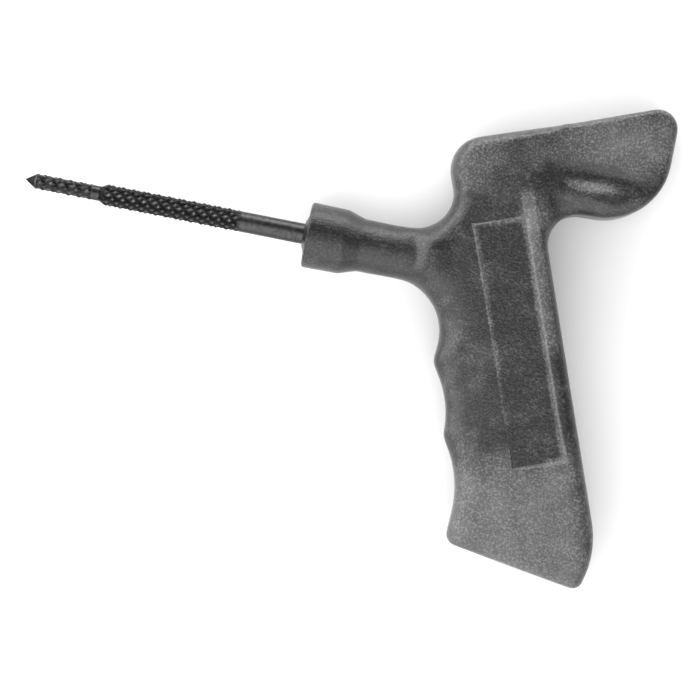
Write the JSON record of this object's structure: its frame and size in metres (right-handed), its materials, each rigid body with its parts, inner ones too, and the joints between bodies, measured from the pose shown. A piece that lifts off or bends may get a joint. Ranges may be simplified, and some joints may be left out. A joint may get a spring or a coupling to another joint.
{
  "type": "tyre repair rasp",
  "caption": "Pistol-grip tyre rasp: a toothed steel reaming rod moulded into a nylon handle with finger grooves and a palm horn.",
  "frame": {"origin": "on the rasp's axis, at the front face of the handle's collar", "axes": "+X along the rasp towards the handle, so the point is at -X; +Y towards the palm horn, so the grip hangs to -Y; +Z the handle's thickness, upwards with the tool lying on its side"},
  "size_m": [0.1921, 0.1476, 0.026],
  "materials": {
    "nylon": "black glass-filled nylon, semi-gloss with a fine pebbled skin",
    "black_steel": "black oxide, satin"
  },
  "bodies": {
    "root": {"handle": "nylon", "rasp": "black_steel"}
  },
  "joints": []
}
